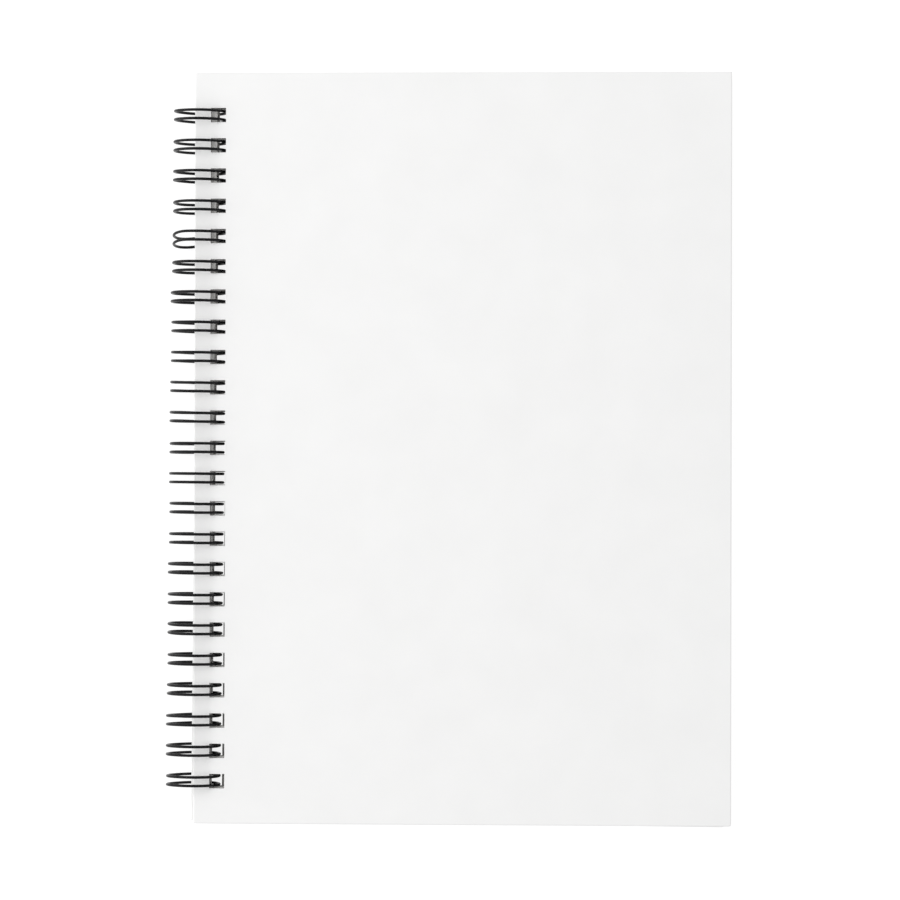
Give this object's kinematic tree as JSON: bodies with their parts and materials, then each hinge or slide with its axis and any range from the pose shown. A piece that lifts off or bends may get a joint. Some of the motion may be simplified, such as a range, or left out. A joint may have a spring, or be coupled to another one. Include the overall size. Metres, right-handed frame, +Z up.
{
  "type": "wire-bound sketchbook",
  "caption": "Wire-bound hardcover sketchbook with plain white covers that turn on a black twin-loop wire along the left edge, holding blank drawing leaves.",
  "frame": {"origin": "middle of the closed book's footprint, on the surface it lies on", "axes": "+X from the wire binding to the fore-edge, +Y along the spine towards the head, +Z up out of the front cover"},
  "size_m": [0.1582, 0.2114, 0.0155],
  "materials": {
    "wire": "gloss black nylon-coated steel",
    "cover_paper": "smooth white wrap with a faint satin sheen",
    "board": "matt dark greyboard",
    "liner_paper": "matt white endpaper",
    "leaf_paper": "matt white drawing paper"
  },
  "bodies": {
    "binding": {"binding_wire": "wire"},
    "back_cover": {"back_cover_board": "board", "back_cover_wrap": "cover_paper", "back_cover_liner": "liner_paper"},
    "leaves_28_30": {"leaves_28_30": "leaf_paper"},
    "leaves_25_27": {"leaves_25_27": "leaf_paper"},
    "leaves_22_24": {"leaves_22_24": "leaf_paper"},
    "leaves_19_21": {"leaves_19_21": "leaf_paper"},
    "leaves_16_18": {"leaves_16_18": "leaf_paper"},
    "leaves_13_15": {"leaves_13_15": "leaf_paper"},
    "leaves_10_12": {"leaves_10_12": "leaf_paper"},
    "leaves_07_09": {"leaves_07_09": "leaf_paper"},
    "leaves_04_06": {"leaves_04_06": "leaf_paper"},
    "leaves_01_03": {"leaves_01_03": "leaf_paper"},
    "front_cover": {"front_cover_board": "board", "front_cover_wrap": "cover_paper", "front_cover_liner": "liner_paper"}
  },
  "joints": [
    {"name": "back_cover_turn", "type": "hinge", "parent": "binding", "child": "back_cover", "pos_m": [-0.07149, 0, 0.00777], "axis": [0, -1, 0], "range_deg": [0, 180]},
    {"name": "leaves_28_30_turn", "type": "hinge", "parent": "back_cover", "child": "leaves_28_30", "pos_m": [-0.07149, 0, 0.00777], "axis": [0, -1, 0], "range_deg": [0, 180]},
    {"name": "leaves_25_27_turn", "type": "hinge", "parent": "leaves_28_30", "child": "leaves_25_27", "pos_m": [-0.07149, 0, 0.00777], "axis": [0, -1, 0], "range_deg": [0, 180]},
    {"name": "leaves_22_24_turn", "type": "hinge", "parent": "leaves_25_27", "child": "leaves_22_24", "pos_m": [-0.07149, 0, 0.00777], "axis": [0, -1, 0], "range_deg": [0, 180]},
    {"name": "leaves_19_21_turn", "type": "hinge", "parent": "leaves_22_24", "child": "leaves_19_21", "pos_m": [-0.07149, 0, 0.00777], "axis": [0, -1, 0], "range_deg": [0, 180]},
    {"name": "leaves_16_18_turn", "type": "hinge", "parent": "leaves_19_21", "child": "leaves_16_18", "pos_m": [-0.07149, 0, 0.00777], "axis": [0, -1, 0], "range_deg": [0, 180]},
    {"name": "leaves_13_15_turn", "type": "hinge", "parent": "leaves_16_18", "child": "leaves_13_15", "pos_m": [-0.07149, 0, 0.00777], "axis": [0, -1, 0], "range_deg": [0, 180]},
    {"name": "leaves_10_12_turn", "type": "hinge", "parent": "leaves_13_15", "child": "leaves_10_12", "pos_m": [-0.07149, 0, 0.00777], "axis": [0, -1, 0], "range_deg": [0, 180]},
    {"name": "leaves_07_09_turn", "type": "hinge", "parent": "leaves_10_12", "child": "leaves_07_09", "pos_m": [-0.07149, 0, 0.00777], "axis": [0, -1, 0], "range_deg": [0, 180]},
    {"name": "leaves_04_06_turn", "type": "hinge", "parent": "leaves_07_09", "child": "leaves_04_06", "pos_m": [-0.07149, 0, 0.00777], "axis": [0, -1, 0], "range_deg": [0, 180]},
    {"name": "leaves_01_03_turn", "type": "hinge", "parent": "leaves_04_06", "child": "leaves_01_03", "pos_m": [-0.07149, 0, 0.00777], "axis": [0, -1, 0], "range_deg": [0, 180]},
    {"name": "front_cover_turn", "type": "hinge", "parent": "leaves_01_03", "child": "front_cover", "pos_m": [-0.07149, 0, 0.00777], "axis": [0, -1, 0], "range_deg": [0, 180]}
  ]
}
